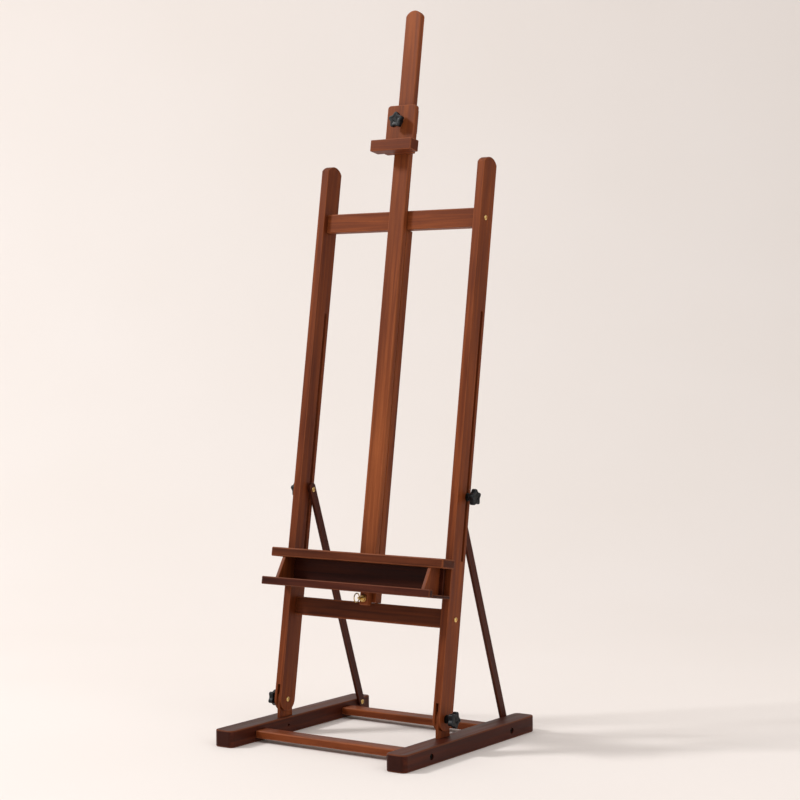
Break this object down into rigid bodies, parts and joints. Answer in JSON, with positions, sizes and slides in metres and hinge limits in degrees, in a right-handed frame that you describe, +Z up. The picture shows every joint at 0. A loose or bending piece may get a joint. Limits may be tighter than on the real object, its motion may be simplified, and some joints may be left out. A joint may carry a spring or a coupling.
{
  "type": "artist easel",
  "caption": "Tilting studio easel with a floor base, two slotted posts, braces, a sliding mast with a tray, and a canvas clamp.",
  "frame": {"origin": "on the floor under the middle of the base", "axes": "+Z up, +X to the right of a person facing the easel, +Y away from them towards the back"},
  "size_m": [0.54, 0.564, 1.7583],
  "materials": {
    "stained_beech": "red-brown stain under satin varnish",
    "brass": "lacquered, lightly tarnished",
    "zinc_steel": "zinc plated",
    "knob_plastic": "moulded, fine matt texture",
    "pad_rubber": "moulded"
  },
  "bodies": {
    "base": {"runner_left": "stained_beech", "pivot_tongue_left": "stained_beech", "brace_foot_bolt_left": "brass", "rail_bolt_front_left": "zinc_steel", "rail_bolt_rear_left": "zinc_steel", "runner_right": "stained_beech", "pivot_tongue_right": "stained_beech", "brace_foot_bolt_right": "brass", "rail_bolt_front_right": "zinc_steel", "rail_bolt_rear_right": "zinc_steel", "floor_rail_front": "stained_beech", "floor_rail_rear": "stained_beech"},
    "frame": {"post_left": "stained_beech", "pivot_bolt_left": "brass", "pivot_washer_left": "zinc_steel", "crossbar_bolt_upper_left": "brass", "crossbar_bolt_lower_left": "brass", "rail_screw_lower_left": "zinc_steel", "post_right": "stained_beech", "pivot_bolt_right": "brass", "pivot_washer_right": "zinc_steel", "crossbar_bolt_upper_right": "brass", "crossbar_bolt_lower_right": "brass", "rail_screw_lower_right": "zinc_steel", "crossbar_upper": "stained_beech", "crossbar_lower": "stained_beech", "centre_rail": "stained_beech", "rail_screw_upper": "zinc_steel"},
    "pivot_knob_left": {"pivot_knob_left": "knob_plastic"},
    "brace_left": {"brace_left": "stained_beech", "brace_bolt_left": "brass", "brace_spacer_left": "zinc_steel", "brace_washer_left": "zinc_steel"},
    "brace_knob_left": {"brace_knob_left": "knob_plastic"},
    "pivot_knob_right": {"pivot_knob_right": "knob_plastic"},
    "brace_right": {"brace_right": "stained_beech", "brace_bolt_right": "brass", "brace_spacer_right": "zinc_steel", "brace_washer_right": "zinc_steel"},
    "brace_knob_right": {"brace_knob_right": "knob_plastic"},
    "carriage": {"mast": "stained_beech", "mast_shoe_lower": "stained_beech", "mast_shoe_upper": "stained_beech", "tray_ledge": "stained_beech", "tray_back": "stained_beech", "tray_floor": "stained_beech", "tray_lip": "stained_beech", "tray_end_left": "stained_beech", "tray_end_right": "stained_beech", "plunger_barrel": "brass"},
    "plunger": {"plunger_pin": "brass"},
    "pull_ring": {"plunger_ring": "brass"},
    "clamp": {"clamp_block": "stained_beech", "clamp_grip": "stained_beech", "clamp_strap": "zinc_steel", "clamp_insert": "brass", "clamp_pad": "pad_rubber", "strap_screw_left": "zinc_steel", "strap_screw_right": "zinc_steel"},
    "clamp_knob": {"clamp_knob": "knob_plastic"}
  },
  "joints": [
    {"name": "frame_tilt", "type": "hinge", "parent": "base", "child": "frame", "pos_m": [0, -0.0645, 0.082], "axis": [1, 0, 0], "range_deg": [-3, 11]},
    {"name": "brace_swing_left", "type": "hinge", "parent": "base", "child": "brace_left", "pos_m": [-0.2117, 0.232, 0.031], "axis": [1, 0, 0], "range_deg": [-3.2, 10.8]},
    {"name": "pivot_knob_turn_left", "type": "hinge", "parent": "frame", "child": "pivot_knob_left", "pos_m": [-0.2502, -0.0645, 0.082], "axis": [1, 0, 0], "continuous": true},
    {"name": "brace_knob_turn_left", "type": "hinge", "parent": "brace_left", "child": "brace_knob_left", "pos_m": [-0.2502, 0.02839, 0.58468], "axis": [1, 0, 0], "continuous": true},
    {"name": "brace_swing_right", "type": "hinge", "parent": "base", "child": "brace_right", "pos_m": [0.2117, 0.232, 0.031], "axis": [1, 0, 0], "range_deg": [-3.2, 10.8]},
    {"name": "pivot_knob_turn_right", "type": "hinge", "parent": "frame", "child": "pivot_knob_right", "pos_m": [0.2502, -0.0645, 0.082], "axis": [1, 0, 0], "continuous": true},
    {"name": "brace_knob_turn_right", "type": "hinge", "parent": "brace_right", "child": "brace_knob_right", "pos_m": [0.2502, 0.02839, 0.58468], "axis": [1, 0, 0], "continuous": true},
    {"name": "mast_slide", "type": "slide", "parent": "frame", "child": "carriage", "axis": [0, 0.1547, 0.988], "range_m": [0, 0.55]},
    {"name": "plunger_press", "type": "slide", "parent": "carriage", "child": "plunger", "axis": [0, 0.988, -0.1547], "range_m": [0, 0.006]},
    {"name": "ring_swing", "type": "hinge", "parent": "plunger", "child": "pull_ring", "pos_m": [0, -0.07198, 0.34381], "axis": [0, 0.1547, 0.988], "range_deg": [-60, 60]},
    {"name": "clamp_slide", "type": "slide", "parent": "carriage", "child": "clamp", "axis": [0, 0.1547, 0.988], "range_m": [-0.18, 0.2]},
    {"name": "clamp_knob_turn", "type": "hinge", "parent": "clamp", "child": "clamp_knob", "pos_m": [0, 0.09398, 1.48184], "axis": [0, -0.988, 0.1547], "continuous": true}
  ],
  "couplings": [
    {"joint": "brace_swing_left", "follows": "frame_tilt", "ratio": 0.95},
    {"joint": "brace_swing_right", "follows": "frame_tilt", "ratio": 0.95}
  ]
}
